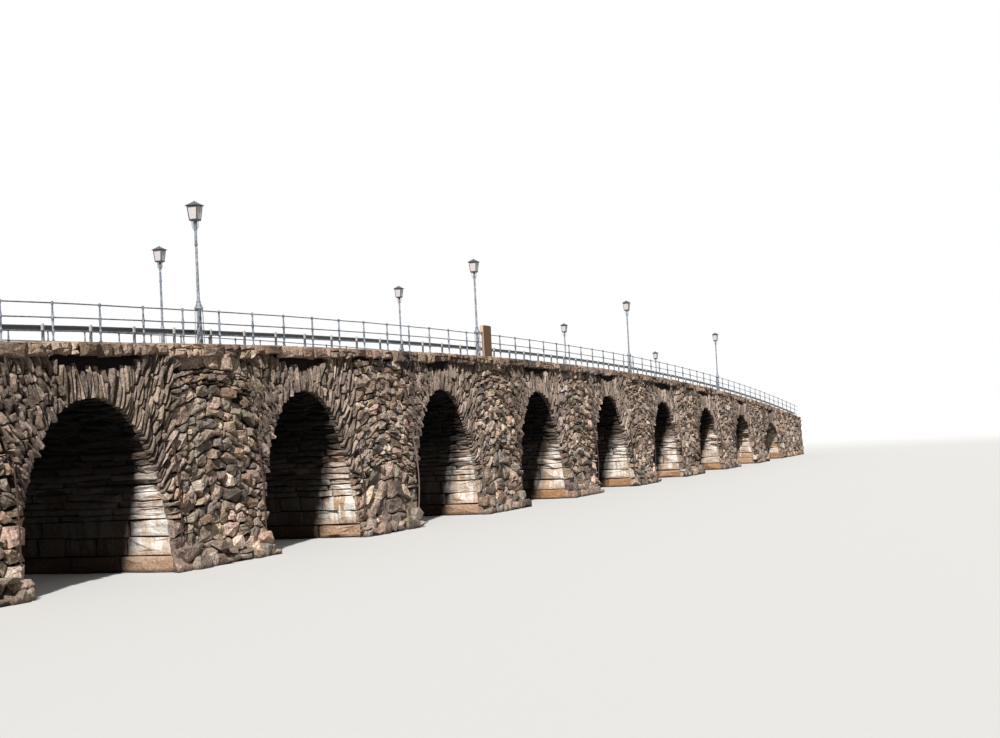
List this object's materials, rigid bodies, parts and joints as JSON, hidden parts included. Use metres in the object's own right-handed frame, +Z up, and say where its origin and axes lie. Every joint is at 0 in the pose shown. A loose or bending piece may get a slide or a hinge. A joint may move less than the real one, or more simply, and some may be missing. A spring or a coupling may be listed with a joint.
{
  "type": "stone arch bridge, 1:10 scale model",
  "caption": "Long river bridge of rough rubble stone with a humped roadway over tall round-headed vaults, iron railings, low guard beams, lamp posts and a slab at the crest.",
  "frame": {"origin": "middle of the bridge at water level, under the middle pier", "axes": "+X along the bridge, +Y across it to the back side, +Z up"},
  "size_m": [19, 1.064, 1.2737],
  "materials": {
    "rubble_stone": "split rubble with open joints",
    "coping_stone": "rough slabs",
    "road_surface": "worn gravel asphalt",
    "brown_granite": "dressed slab",
    "painted_cast_iron": "weathered grey paint",
    "painted_steel": "black paint",
    "lantern_glass": "milky panes",
    "rusty_iron": "rusted"
  },
  "bodies": {
    "root": {"abutment_left": "rubble_stone", "abutment_right": "rubble_stone", "arch_01": "rubble_stone", "arch_02": "rubble_stone", "arch_03": "rubble_stone", "arch_04": "rubble_stone", "arch_05": "rubble_stone", "arch_06": "rubble_stone", "arch_07": "rubble_stone", "arch_08": "rubble_stone", "arch_09": "rubble_stone", "arch_10": "rubble_stone", "arch_11": "rubble_stone", "arch_12": "rubble_stone", "coping_back": "coping_stone", "coping_front": "coping_stone", "guard_beam_back": "painted_steel", "guard_beam_front": "painted_steel", "guard_posts_back": "painted_steel", "guard_posts_front": "painted_steel", "iron_rods_back": "rusty_iron", "iron_rods_front": "rusty_iron", "lamp_posts_back": "painted_cast_iron", "lamp_posts_front": "painted_cast_iron", "lantern_panes_back": "lantern_glass", "lantern_panes_front": "lantern_glass", "memorial_slab": "brown_granite", "pier_01": "rubble_stone", "pier_02": "rubble_stone", "pier_03": "rubble_stone", "pier_04": "rubble_stone", "pier_05": "rubble_stone", "pier_06": "rubble_stone", "pier_07": "rubble_stone", "pier_08": "rubble_stone", "pier_09": "rubble_stone", "pier_10": "rubble_stone", "pier_11": "rubble_stone", "railing_posts_back": "painted_cast_iron", "railing_posts_front": "painted_cast_iron", "rails_back": "painted_cast_iron", "rails_front": "painted_cast_iron", "roadway": "road_surface"}
  },
  "joints": []
}
